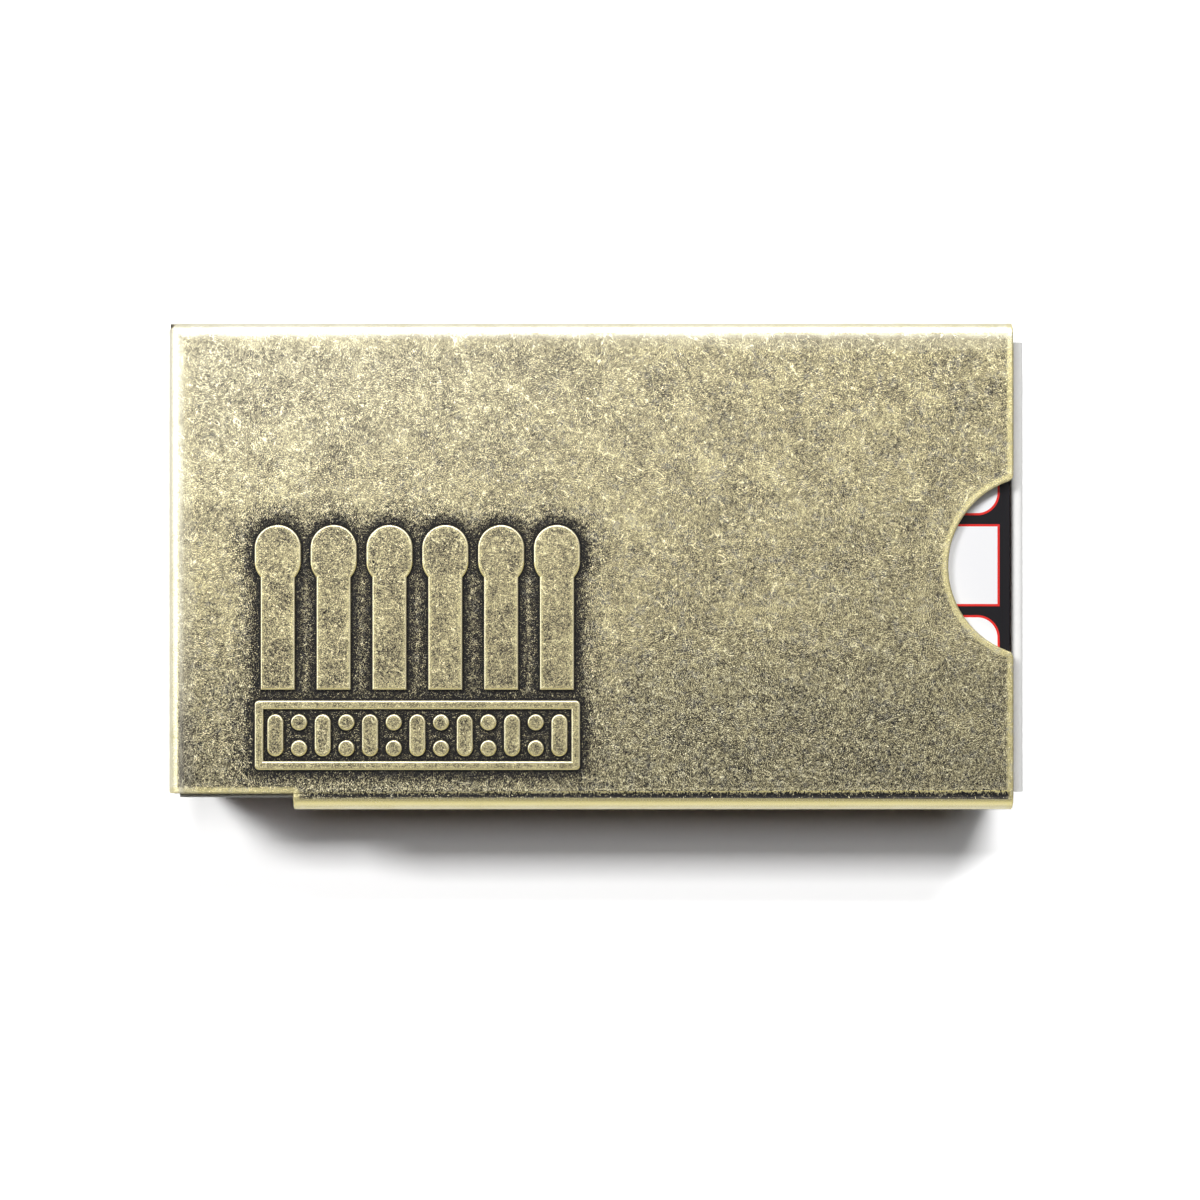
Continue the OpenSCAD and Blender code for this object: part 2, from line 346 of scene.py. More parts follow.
    def length(self, x: Value, y: Value) -> Field:
        """Gives the length of the vector (x, y)."""
        node = self.node("ShaderNodeVectorMath", operation="LENGTH")
        self.feed(node.inputs[0], self.vector(x, y, 0.0))
        return Field(self, node.outputs["Value"])

    def use(self, group: "Effect", **values: object) -> list[Field]:
        """Places an effect's node group.

        Args:
            group: The effect.
            **values: Its inputs, by name with underscores for spaces.

        Returns:
            Its outputs, in the order that the group names them.
        """
        node = self.node("ShaderNodeGroup", node_tree=group.tree())
        self.fill(node, **values)
        return [Field(self, output) for output in node.outputs]


class Effect(Enum):
    """Node groups that several finishes share. Each is built once, when it is first used."""

    PANEL = "panel distance"
    FLECKS = "flecks"
    FIBRE = "card fibre"
    GRIT = "grit"

    def tree(self) -> bpy.types.NodeTree:
        """Gives the effect's node group, and builds it the first time."""
        made = bpy.data.node_groups.get(self.value)
        return made if made else BUILDERS[self](GroupSketch(self.value))


class GroupSketch:
    """A node group in the making, with named inputs and outputs."""

    def __init__(self, name: str) -> None:
        """Starts an empty group."""
        self.tree = bpy.data.node_groups.new(name, "ShaderNodeTree")
        self.graph = Graph(self.tree)

    def inputs(self, **defaults: object) -> list[Field]:
        """Makes the group's inputs.

        Args:
            **defaults: Their default values, by name with underscores for spaces. A None makes
                a vector input.

        Returns:
            The inputs as fields, in the same order.
        """
        for name, default in defaults.items():
            kind = "NodeSocketVector" if default is None else "NodeSocketFloat"
            socket = self.tree.interface.new_socket(
                name.replace("_", " "), in_out="INPUT", socket_type=kind
            )
            if default is not None:
                socket.default_value = default
        entry = self.graph.node("NodeGroupInput")
        return [Field(self.graph, output) for output in entry.outputs[: len(defaults)]]

    def outputs(self, **results: Field) -> bpy.types.NodeTree:
        """Makes the group's outputs from the results, and gives the finished group."""
        for name in results:
            self.tree.interface.new_socket(
                name, in_out="OUTPUT", socket_type="NodeSocketFloat"
            )
        end = self.graph.node("NodeGroupOutput")
        for name, result in results.items():
            self.graph.feed(end.inputs[name], result)
        return self.tree


def build_panel(sketch: GroupSketch) -> bpy.types.NodeTree:
    """Builds the signed distance to a rectangle with round corners, negative inside it."""
    x, y, half_width, half_height, corner = sketch.inputs(
        X=0.0, Y=0.0, Half_Width=1.0, Half_Height=1.0, Corner=0.0
    )
    across = x.size() - half_width + corner
    along = y.size() - half_height + corner
    outside = sketch.graph.length(across.most(0.0), along.most(0.0))
    inside = across.most(along).least(0.0)
    return sketch.outputs(Distance=outside + inside - corner)


@dataclass(frozen=True)
class Flecks:
    """The flecks, hairlines and pits that tumbling leaves on patinated metal.

    Attributes:
        turns: Ways in which the light strokes run, in degrees.
        dark_turn: How far the dark strokes are turned from them.
        hair_turns: Ways in which hairlines run, each with the noise level that keeps it.
        keep_over: How far over that level a hairline is whole.
    """

    turns: tuple[float, ...] = (37.0, -28.0, 82.0, 8.0)
    dark_turn: float = 64.0
    light_stroke: Grain = Grain(1.25, 1.0, 0.6)
    light_stretch: Stretch = (1.0, 0.36, 1.0)
    dark_stroke: Grain = Grain(1.1, 1.0, 0.6)
    dark_stretch: Stretch = (1.0, 0.45, 1.0)
    fine: Grain = Grain(2.0, 2.0, 0.8)
    cloudy: Grain = Grain(0.3, 4.0, 0.8)
    stroke_weight: float = 0.52
    fine_weight: float = 1.2
    cloudy_weight: float = 0.42
    hair_turns: tuple[Limits, ...] = ((15.0, 0.54), (-50.0, 0.56), (100.0, 0.57))
    hair: Grain = Grain(0.6, 0.0)
    hair_stretch: Stretch = (1.0, 0.12, 1.0)
    hair_limits: Limits = (0.026, 0.006)
    bend_per_mm: float = 0.35
    bend_reach: float = 1.2
    patch: Grain = Grain(0.75, 1.0)
    patch_stretch: Stretch = (1.0, 0.5, 1.0)
    keep_over: float = 0.05
    speck: Grain = Grain(0.7, 1.0)
    pit_limits: Limits = (0.36, 0.28)

    def tone(self, graph: Graph, vector: Field, per_mm: Field) -> Field:
        """Lays light and dark strokes over fine and cloudy noise.

        Args:
            graph: The graph to add the nodes to.
            vector: The shaded point, in millimetres.
            per_mm: How many flecks lie in a millimetre.

        Returns:
            The tone, around 0.5.
        """
        cloudy = graph.noise(vector, self.cloudy, per_mm)
        fine = graph.noise(vector, self.fine, per_mm)
        light = Field.none(graph)
        dark = Field.none(graph)
        for degrees in self.turns:
            strokes = graph.turned(vector, degrees, self.light_stretch)
            light = light.most(graph.noise(strokes, self.light_stroke, per_mm))
            strokes = graph.turned(vector, degrees + self.dark_turn, self.dark_stretch)
            dark = dark.most(graph.noise(strokes, self.dark_stroke, per_mm))
        strokes = (light - dark) * self.stroke_weight
        return strokes + (fine - 0.5) * self.fine_weight + (cloudy - 0.5) * self.cloudy_weight + 0.5

    def hairs(self, graph: Graph, vector: Field, per_mm: Field) -> Field:
        """Draws bent hairlines that come and go.

        Args:
            graph: The graph to add the nodes to.
            vector: The shaded point, in millimetres.
            per_mm: How many flecks lie in a millimetre.

        Returns:
            A mask of the hairlines.
        """
        hairs = Field.none(graph)
        bent = graph.warped(vector, self.bend_per_mm, self.bend_reach)
        for degrees, keep in self.hair_turns:
            strands = graph.noise(graph.turned(bent, degrees, self.hair_stretch), self.hair, per_mm)
            thin = (strands - 0.5).size().fade(*self.hair_limits)
            patches = graph.noise(graph.turned(vector, degrees, self.patch_stretch), self.patch)
            hairs = hairs.most(thin * patches.fade(keep, keep + self.keep_over))
        return hairs

    def build(self, sketch: GroupSketch) -> bpy.types.NodeTree:
        """Builds the group, whose Size is that of a fleck in millimetres."""
        graph = sketch.graph
        vector, size = sketch.inputs(Vector=None, Size=0.3)
        per_mm = 1.0 / size
        tone = self.tone(graph, vector, per_mm)
        hairs = self.hairs(graph, vector, per_mm)
        pits = graph.noise(vector, self.speck, per_mm).fade(*self.pit_limits)
        return sketch.outputs(Tone=tone, Hairs=hairs, Pits=pits)


@dataclass(frozen=True)
class Fibre:
    """The cloudy, fibrous look of card."""

    clouds: Grain = Grain(0.25)
    fibres: Grain = Grain(4.0, 3.0, 0.7)
    lie: float = 12.0
    stretch: Stretch = (1.0, 0.35, 1.0)
    cloud_weight: float = 0.4
    fibre_weight: float = 0.6

    def build(self, sketch: GroupSketch) -> bpy.types.NodeTree:
        """Builds the group, whose Size is that of a tuft in millimetres."""
        graph = sketch.graph
        vector, size = sketch.inputs(Vector=None, Size=1.0)
        per_mm = 1.0 / size
        clouds = graph.noise(vector, self.clouds, per_mm)
        strands = graph.turned(vector, self.lie, self.stretch)
        fibres = graph.noise(strands, self.fibres, per_mm)
        return sketch.outputs(Fibre=clouds * self.cloud_weight + fibres * self.fibre_weight)


@dataclass(frozen=True)
class Grit:
    """Fine grains, as in a dipped head or a striking coat."""

    lumps: Grain = Grain(0.6, 3.0, 0.6)
    grain_weight: float = 0.6
    lump_weight: float = 0.6

    def build(self, sketch: GroupSketch) -> bpy.types.NodeTree:
        """Builds the group, whose Size is that of a grain in millimetres."""
        graph = sketch.graph
        vector, size = sketch.inputs(Vector=None, Size=0.2)
        per_mm = 1.0 / size
        cells = graph.node("ShaderNodeTexVoronoi", feature="F1")
        graph.fill(cells, Vector=vector, Scale=per_mm)
        grains = Field(graph, cells.outputs["Distance"]) * self.grain_weight
        lumps = graph.noise(vector, self.lumps, per_mm) * self.lump_weight
        return sketch.outputs(Grit=grains + lumps)


BUILDERS: dict[Effect, Callable[[GroupSketch], bpy.types.NodeTree]] = {
    Effect.PANEL: build_panel,
    Effect.FLECKS: Flecks().build,
    Effect.FIBRE: Fibre().build,
    Effect.GRIT: Grit().build,
}


@dataclass(frozen=True)
class Finish:
    """What every finish has: a name, and the shader that its pattern feeds."""

    name: str

    def material(self) -> bpy.types.Material:
        """Builds the material."""
        made = bpy.data.materials.new(self.name)
        made.use_nodes = True
        graph = Graph(made.node_tree)
        shader = graph.node("ShaderNodeBsdfPrincipled")
        graph.end_in(shader)
        self.pattern(graph, graph.place(), shader)
        return made

    def pattern(self, graph: Graph, at: Place, shader: bpy.types.Node) -> None:
        """Feeds the shader. Each finish has its own."""
        raise NotImplementedError

    @staticmethod
    def bump(graph: Graph, shader: bpy.types.Node, height_mm: Field, strength: float) -> None:
        """Raises the surface by a height in millimetres."""
        node = graph.node("ShaderNodeBump")
        graph.fill(node, Strength=strength, Distance=MM, Height=height_mm)
        graph.feed(shader.inputs["Normal"], Field(graph, node.outputs[0]))


@dataclass(frozen=True)
class SheetLayout:
    """Sizes of the folded sheet that its wear follows, in millimetres."""

    mouth_x: float
    closed_x: float
    lip_y: float
    wall_y: float
    top_z: float
    bend_r: float = 1.9
    cut_length: float = 16.9
    trim_back: float = 0.4
    notch_r: float = 12.0
    notch_out: float = 3.3
    crease_stop: float = 0.5
    crease_in: float = 0.28
    corner_r: float = 0.6
    notch_in: float = 0.35

    @property
    def trim_y(self) -> float:
        """Y of the trimmed edge at the closed end."""
        return self.lip_y + self.bend_r + self.trim_back

    @property
    def lip_x(self) -> float:
        """X at which the lips begin."""
        return self.closed_x + self.cut_length


@dataclass(frozen=True)
class EmblemLayout:
    """Sizes of the raised emblem, in millimetres, for the patina round it."""

    left: float
    bottom: float
    width: float = 43.4
    match_length: float = 22.0
    stick_width: float = 4.6
    head_r: float = 3.1
    head_length: float = 8.0
    matches: int = 6
    panel_height: float = 9.3
    panel_gap: float = 1.4
    bar: float = 1.2
    dot_r: float = 1.1
    columns: int = 13
    rows: int = 2

    def matches_distance(self, graph: Graph, x: Field, y: Field) -> Field:
        """Gives the signed distance to the row of matches."""
        step = (self.width - 2 * self.head_r) / (self.matches - 1)
        number = ((x - self.head_r) / step + 0.5).whole().most(0.0).least(self.matches - 1.0)
        across = x - self.head_r - number * step
        foot = self.panel_height + self.panel_gap
        stick_length = self.match_length - self.head_length / 2
        (stick,) = graph.use(
            Effect.PANEL,
            X=across,
            Y=y - (foot + stick_length / 2),
            Half_Width=self.stick_width / 2,
            Half_Height=stick_length / 2,
        )
        (head,) = graph.use(
            Effect.PANEL,
            X=across,
            Y=y - (foot + self.match_length - self.head_length / 2),
            Half_Width=self.head_r,
            Half_Height=self.head_length / 2,
            Corner=self.head_r,
        )
        return stick.least(head)

    def panel_distance(self, graph: Graph, x: Field, y: Field) -> Field:
        """Gives the signed distance to the panel's border, ribs and dots."""
        (middle,) = graph.use(
            Effect.PANEL,
            X=x - self.width / 2,
            Y=y - self.panel_height / 2,
            Half_Width=(self.width - self.bar) / 2,
            Half_Height=(self.panel_height - self.bar) / 2,
        )
        border = middle.size() - self.bar / 2
        column_step = (self.width - 2 * self.bar) / self.columns
        row_step = (self.panel_height - 2 * self.bar) / self.rows
        column = ((x - self.bar) / column_step).whole().most(0.0).least(self.columns - 1.0)
        row = ((y - self.bar) / row_step).whole().most(0.0).least(self.rows - 1.0)
        across = x - self.bar - (column + 0.5) * column_step
        dot = graph.length(across, y - self.bar - (row + 0.5) * row_step) - self.dot_r
        run = (self.rows - 1) * row_step / 2
        beyond = ((y - self.panel_height / 2).size() - run).most(0.0)
        rib = graph.length(across, beyond) - self.dot_r
        odd = column * 0.5 - (column * 0.5).whole()
        return border.least(graph.lerp(odd * 2.0, rib, dot))

    def distance(self, graph: Graph, at: Place) -> Field:
        """Gives the signed distance to the emblem's outline, negative on its raised parts.

        Args:
            graph: The graph to add the nodes to.
            at: The shaded point.

        Returns:
            The distance in millimetres.
        """
        x = at.x - self.left
        y = at.y - self.bottom
        return self.matches_distance(graph, x, y).least(self.panel_distance(graph, x, y))


@dataclass
class Marks:
    """What wear, patina and painted shade do at the shaded point.

    Each is a mask from 0 to 1, apart from flecks and blotches, which are noise around 0.5, grime,
    which may pass 1 and carries patina and painted shade, and edge, the distance to the nearest
    cut edge in millimetres.
    """

    flecks: Field
    hairs: Field
    pits: Field
    blotches: Field
    edge: Field
    rim: Field
    raised: Field
    worn_top: Field
    halo: Field
    crease: Field
    line: Field
    bend: Field
    beside: Field
    grime_and_shade: Field
    closed_end: Field
    relief_notch: Field


@dataclass(frozen=True)
class ToneWeights:
    """How far each mark lightens or darkens the brass, on a scale of tones from 0 to 1."""

    plain: float = 0.49
    blotches: float = 0.5
    hairs: float = 0.3
    pits: float = 0.1
    grime_and_shade: float = 0.22
    closed_end_grime_and_shade: float = 0.12
    halo: float = 0.78
    worn_top: float = 0.1
    rim: float = 0.16
    beside: float = 0.14
    bend: float = 0.46
    line: float = 0.16
    crease: float = 0.85
    relief_notch: float = 0.42


@dataclass(frozen=True)
class ContrastWeights:
    """How strong the flecks are, and how each mark strengthens or weakens them."""

    plain: float = 1.42
    grime_and_shade: float = 2.0
    closed_end: float = 0.3
    bend: float = 0.8
    raised: float = 0.25
    beside: float = 0.8
    most_blotched: float = 1.5


@dataclass(frozen=True)
class GildWeights:
    """How far worn places turn golden, how far tarnished ones turn grey, and how strong the painted
    sheen and the painted reflection are, from 0 to 1.

    Attributes:
        beside: How far the flat beside the bends is greyed, as part of the painted sheen.
        pale: How far the painted sheen greys the corner by the wall side and the closed end.
        painted_sheen_y: Distances from the lips at which the painted sheen begins and is whole.
        painted_sheen_x: The same from the closed end.
    """

    rim: float = 0.55
    worn_top: float = 0.2
    steep: float = 0.6
    # turned_down fades the painted reflection on the lip-side bends where they face furthest down.
    turned_down: float = 0.75
    # Painted sheen: how far the corner by the wall side and the closed end is greyed.
    pale: float = 0.25
    tarnish: float = 0.5
    beside: float = 0.45
    painted_sheen_y: Limits = (25.0, 65.0)
    painted_sheen_x: Limits = (110.0, 0.0)


@dataclass(frozen=True)
class NotchRecipe:
    """The soot in the relief notch. Depths are below the bend, in millimetres."""

    ragged: Grain = Grain(4.0, 2.0, 0.8)
    ragged_reach: float = 0.9
    specks: Grain = Grain(5.0, 1.0)
    speck_limits: Limits = (0.34, 0.56)
    soft_limits: Limits = (0.2, -0.1)
    clean_depth: float = 0.9
    sooty_depth: float = 0.4


@dataclass(frozen=True)
class BendRecipe:
    """The rubbed bends and the flat beside them. Distances are in millimetres from the bend."""

    curved: Limits = (0.0, 0.05)
    ragged: Grain = Grain(0.7, 3.0, 0.6)
    ragged_reach: float = 2.4
    wide_limits: Limits = (2.6, 1.0)
    wide_weight: float = 0.45
    near_limits: Limits = (0.7, 0.0)
    near_weight: float = 0.55
    start_limits: Limits = (-0.6, 0.0)
    grime_and_shade_off: float = 0.9


@dataclass(frozen=True)
class EmblemWear:
    """Wear on and round the emblem. Distances are in millimetres from its outline.

    Attributes:
        raised_limits: From the outline to where a stroke counts as raised.
        worn_limits: From the middle of a stroke to its rubbed edge.
        halo_limits: The dark line round it.
        cloud_limits: The ragged darkness beyond that line.
        front_limits: From below the front's face to where it counts as the front.
        grime_and_shade_off: Share of the patina and painted shade that stays off its strokes.
    """

    raised_limits: Limits = (0.0, -0.15)
    worn_limits: Limits = (-0.75, -0.2)
    worn_ragged: float = 0.6
    halo_limits: Limits = (0.5, 0.2)
    cloud_limits: Limits = (2.0, 0.2)
    cloud_ragged: float = 2.0
    cloud_weight: float = 0.65
    outside_limits: Limits = (-0.12, 0.0)
    front_limits: Limits = (-0.5, -0.1)
    grime_and_shade_off: float = 0.7


@dataclass(frozen=True)
class GrimeAndShadeRecipe:
    """Where the face is darker: patina round the emblem, and a darkening towards the lips and the
    mouth end that is partly patina and partly painted shade. Reaches are in millimetres.
    """

    from_lips: Limits = (34.0, 2.0)
    from_closed_end: Limits = (0.0, 90.0)
    from_emblem: Limits = (4.5, 0.5)
    patches: Grain = Grain(0.11)
    low_weight: float = 0.7
    far_weight: float = 0.22
    near_weight: float = 0.7
    patch_weight: float = 0.5
    deepest: float = 1.2


@dataclass(frozen=True)
class CreaseRecipe:
    """The dark crease along a lip, wider towards the mouth. Lengths are in millimetres."""

    reach: float = 0.08
    reach_gained: float = 0.25
    below: float = 0.3
    below_gained: float = 0.3
    ragged: Grain = Grain(4.5, 2.0, 0.75)
    ragged_stretch: Stretch = (1.0, 0.6, 1.0)
    ragged_reach: float = 4.0
    broken: Grain = Grain(2.0, 2.0, 0.7)
    mended: float = 0.35
    broken_limits: Limits = (0.3, 0.5)
    start_shares: Limits = (0.0, 0.03)
    end_shares: Limits = (1.002, 0.998)
    line_start_shares: Limits = (0.0, 0.02)
    soft_above: float = 0.08
    soft_below: float = 0.04
    face_depth: float = 1.0
    face_fade: float = 0.2
    line_above: float = 0.68
    line_limits: Limits = (0.35, 0.1)


@dataclass(frozen=True)
class AntiqueBrass(Finish):
    """Brass under a dark patina that is rubbed through in flecks, and bright where it is worn, with
    painted shade towards the lips and the mouth end, a painted sheen in the corner by the wall side
    and the closed end, and a painted reflection on the lip-side bends.
    """

    sheet: SheetLayout
    emblem: EmblemLayout
    soot: Colour = srgb(30, 29, 29)
    patina: Colour = srgb(73, 70, 65)
    dull: Colour = srgb(117, 109, 87)
    brass: Colour = srgb(157, 147, 109)
    rubbed: Colour = srgb(205, 196, 150)
    bright: Colour = srgb(224, 218, 190)
    gold: Colour = srgb(208, 196, 138)
    # Painted reflection: the brighter gold of the lip-side bends, for the bright floor that they
    # mirror.
    lip_bend_painted_reflection: Colour = srgb(228, 215, 152)
    weights: ToneWeights = ToneWeights()
    contrasts: ContrastWeights = ContrastWeights()
    gilding: GildWeights = GildWeights()
    grime_and_shade_recipe: GrimeAndShadeRecipe = GrimeAndShadeRecipe()
    crease_recipe: CreaseRecipe = CreaseRecipe()
    notch_recipe: NotchRecipe = NotchRecipe()
    bend_recipe: BendRecipe = BendRecipe()
    emblem_wear: EmblemWear = EmblemWear()
    fleck_size: float = 0.27
    blotches: Grain = Grain(0.3, 3.0, 0.6)
    ragged: Grain = Grain(2.2, 3.0, 0.7)
    ragged_reach: float = 0.9
    tarnish: Grain = Grain(0.9, 4.0, 0.7)
    tarnish_limits: Limits = (0.48, 0.66)
    tarnished_tones: Limits = (0.75, 0.4)
    facing: Limits = (0.3, 0.7)
    flat: Limits = (0.9, 0.98)
    rim_limits: Limits = (1.05, 0.6)
    rim_ragged: float = 0.5
    closed_end_limits: Limits = (70.0, 0.0)
    steep_limits: Limits = (0.5, 0.2)
    # Facing limits of the painted reflection on the lip-side bends.
    outward_limits: Limits = (0.0, 0.1)
    turned_limits: Limits = (0.4, 0.85)
    shiny_tones: Limits = (0.05, 0.8)
    metallic: Limits = (0.35, 1.0)
    roughness: Limits = (0.5, 0.27)
    specular: float = 0.12
    coat: float = 0.45
    coat_roughness: float = 0.3
    burr_width: float = 0.26
    burr_facing: Limits = (0.7, 0.9)
    tone_relief: float = 0.01
    fleck_relief: float = 0.012

    def cut_edges(self, graph: Graph, at: Place) -> Field:
        """Gives the distance to the nearest cut edge of the sheet, in millimetres."""
        sheet = self.sheet
        mouth = sheet.mouth_x - at.x
        notch = graph.length(at.x - (sheet.mouth_x + sheet.notch_out), at.y) - sheet.notch_r
        corner = graph.length((at.x - sheet.lip_x).most(0.0), (at.y - sheet.trim_y).most(0.0))
        return mouth.least(notch).least(corner)

    def crease(self, graph: Graph, at: Place) -> tuple[Field, Field]:
        """Gives masks of the dark crease along a lip and of the rubbed line above it.

        Args:
            graph: The graph to add the nodes to.
            at: The shaded point.

        Returns:
            The crease, ragged above and crisp below, and the line.
        """
        sheet, recipe = self.sheet, self.crease_recipe
        share = (at.x - sheet.lip_x) / (sheet.mouth_x - sheet.crease_stop - sheet.lip_x)
        above_y = at.y - (sheet.lip_y + sheet.bend_r + sheet.crease_in)
        stretched = graph.turned(at.vector, 0.0, recipe.ragged_stretch)
        reach = share.most(0.0).least(1.0) * recipe.reach_gained + recipe.reach
        above = above_y - reach + graph.frayed(stretched, recipe.ragged, recipe.ragged_reach)
        below = above_y + share * recipe.below_gained + recipe.below
        broken = graph.noise(at.vector, recipe.broken) + share * recipe.mended
        half_height = sheet.top_z / 2
        face_z = half_height - recipe.face_depth
        faces = (at.z - half_height).size().fade(face_z, face_z + recipe.face_fade)
        dark = above.fade(recipe.soft_above, -recipe.soft_above)
        dark = dark * below.fade(-recipe.soft_below, recipe.soft_below)
        dark = dark * share.fade(*recipe.end_shares) * share.fade(*recipe.start_shares)
        dark = dark * faces * broken.fade(*recipe.broken_limits)
        line = (above_y - recipe.line_above).size().fade(*recipe.line_limits)
        line = line * share.fade(*recipe.line_start_shares)
        return dark, line * at.facing_z.size().fade(*self.flat)

    def relief_notch(self, graph: Graph, at: Place) -> Field:
        """Gives a mask of the sooty relief notch where the two bends meet."""
        sheet, recipe = self.sheet, self.notch_recipe
        from_x = at.x - sheet.closed_x - sheet.notch_in
        from_y = at.y - sheet.wall_y + sheet.notch_in
        ragged = graph.frayed(at.vector, recipe.ragged, recipe.ragged_reach)
        spot = graph.length(from_x, from_y) - sheet.corner_r + ragged
        bend_z = sheet.top_z - sheet.bend_r
        high = at.z.fade(bend_z - recipe.clean_depth, bend_z - recipe.sooty_depth)
        speckled = graph.noise(at.vector, recipe.specks).fade(*recipe.speck_limits)
        return spot.fade(*recipe.soft_limits) * high * speckled

    def grime_and_shade(self, graph: Graph, at: Place, shape: Field) -> Field:
        """Gives how dark the face is made: patina round the emblem, and a darkening towards the
        lips and the mouth end that is partly patina and partly painted shade.

        Args:
            graph: The graph to add the nodes to.
            at: The shaded point.
            shape: Distance to the emblem.

        Returns:
            The grime, 0 where the metal is clean.
        """
        recipe = self.grime_and_shade_recipe
        # Painted shade in part: darker towards the lips and the mouth end, away from the lamps; the
        # rest is patina.
        low = (at.y - self.sheet.lip_y).fade(*recipe.from_lips)
        far = (at.x - self.sheet.closed_x).fade(*recipe.from_closed_end)
        near = shape.fade(*recipe.from_emblem) * at.facing_z.fade(*self.facing)
        patches = graph.frayed(at.vector, recipe.patches, recipe.patch_weight)
        grime_and_shade = low * recipe.low_weight + far * recipe.far_weight + near * recipe.near_weight
        return (grime_and_shade + patches).most(0.0).least(recipe.deepest)

    def bends(self, graph: Graph, at: Place) -> tuple[Field, Field]:
        """Gives masks of the rounded bends and of the flat beside them, which is rubbed lighter and
        greyed as part of the painted sheen.

        Args:
            graph: The graph to add the nodes to.
            at: The shaded point.

        Returns:
            The bends, and the flat beside them.
        """
        sheet, recipe = self.sheet, self.bend_recipe
        main = at.facing_x.size().most(at.facing_y.size()).most(at.facing_z.size())
        bend = (1.0 - main).fade(*recipe.curved)
        inside = (sheet.wall_y - sheet.bend_r - at.y).least(at.x - sheet.closed_x - sheet.bend_r)
        ragged = graph.frayed(at.vector, recipe.ragged, recipe.ragged_reach)
        wide = (inside + ragged).fade(*recipe.wide_limits) * recipe.wide_weight
        near = inside.fade(*recipe.near_limits) * recipe.near_weight
        beside = (wide + near) * inside.fade(*recipe.start_limits)
        return bend, beside * at.facing_z.size().fade(*self.flat)

    def marks(self, graph: Graph, at: Place) -> Marks:
        """Works out every mark of wear and patina, and the painted shade.

        Args:
            graph: The graph to add the nodes to.
            at: The shaded point.

        Returns:
            The marks.
        """
        sheet = self.sheet
        flecks, hairs, pits = graph.use(Effect.FLECKS, Vector=at.vector, Size=self.fleck_size)
        edge = self.cut_edges(graph, at)
        shape = self.emblem.distance(graph, at)
        ragged = graph.frayed(at.vector, self.ragged, self.ragged_reach)
        wear = self.emblem_wear
        front = at.facing_z.fade(*self.facing) * (at.z - sheet.top_z).fade(*wear.front_limits)
        raised = shape.fade(*wear.raised_limits) * front
        worn_top = (shape + ragged * wear.worn_ragged).fade(*wear.worn_limits) * raised
        cloud = (shape + ragged * wear.cloud_ragged).fade(*wear.cloud_limits) * wear.cloud_weight
        halo = shape.fade(*wear.halo_limits).most(cloud) * shape.fade(*wear.outside_limits)
        crease, line = self.crease(graph, at)
        bend, beside = self.bends(graph, at)
        grime_and_shade = self.grime_and_shade(graph, at, shape) * (1.0 - raised * wear.grime_and_shade_off)
        return Marks(
            flecks=flecks,
            hairs=hairs,
            pits=pits,
            blotches=graph.noise(at.vector, self.blotches),
            edge=edge,
            rim=(edge + ragged * self.rim_ragged).fade(*self.rim_limits),
            raised=raised,
            worn_top=worn_top,
            halo=halo * front,
            crease=crease,
            line=line,
            bend=bend,
            beside=beside,
            grime_and_shade=grime_and_shade * (1.0 - bend * self.bend_recipe.grime_and_shade_off),
            closed_end=(at.x - sheet.closed_x).fade(*self.closed_end_limits),
            relief_notch=self.relief_notch(graph, at),
        )

    def tone(self, marks: Marks) -> Field:
        """Adds the marks up to a tone, from 0 for soot to 1 for bright metal."""
        weights, contrasts = self.weights, self.contrasts
        contrast = contrasts.plain + marks.grime_and_shade * contrasts.grime_and_shade
        contrast = contrast * (1.0 - marks.bend * contrasts.bend)
        contrast = contrast * (1.0 - marks.raised * contrasts.raised)
        contrast = contrast * (contrasts.most_blotched - marks.blotches)
        contrast = contrast * (1.0 - marks.beside * contrasts.beside)
        contrast = contrast * (1.0 + marks.closed_end * contrasts.closed_end)
        tone = (marks.flecks - 0.5) * contrast + weights.plain
        tone = tone + (marks.blotches - 0.5) * weights.blotches
        tone = tone + marks.hairs * weights.hairs - marks.pits * weights.pits
        # The grime term darkens by patina and, towards the lips and the mouth end, by painted
        # shade.
        tone = tone - marks.grime_and_shade * weights.grime_and_shade - marks.halo * weights.halo
        tone = tone - marks.closed_end * marks.grime_and_shade * weights.closed_end_grime_and_shade
        tone = tone + marks.worn_top * weights.worn_top + marks.rim * weights.rim
        tone = tone + marks.beside * weights.beside + marks.bend * weights.bend
        tone = tone + marks.line * weights.line
        sooty = (marks.crease * weights.crease).most(marks.relief_notch * weights.relief_notch)
        return tone - sooty

    def colour(self, graph: Graph, at: Place, marks: Marks, tone: Field) -> Field:
        """Colours the tone, gilds what is worn, greys what is tarnished, greys the corner by the
        wall side and the closed end as a painted sheen, and lays a painted reflection on the
        lip-side bends.

        Args:
            graph: The graph to add the nodes to.
            at: The shaded point.
            marks: The marks at that point.
            tone: Their tone.

        Returns:
            The colour.
        """
        scale = (
            (0.0, self.soot),
            (0.16, self.patina),
            (0.36, self.dull),
            (0.53, self.brass),
            (0.74, self.rubbed),
            (0.98, self.bright),
        )
        gilding = self.gilding
        clean = 1.0 - marks.crease
        steep = marks.bend * at.facing_z.size().fade(*self.steep_limits)
        gilt = (marks.rim * gilding.rim).most(marks.worn_top * gilding.worn_top)
        gilt = gilt.most(steep * gilding.steep)
        # Painted reflection: the bends on the lip side, which face away from the wall, take a
        # brighter gold for the bright floor that they mirror, least where they face furthest down.
        outward = at.facing_y * -1.0
        down = outward.fade(*self.turned_limits) * gilding.turned_down
        lip_side = marks.bend * outward.fade(*self.outward_limits) * (1.0 - down)
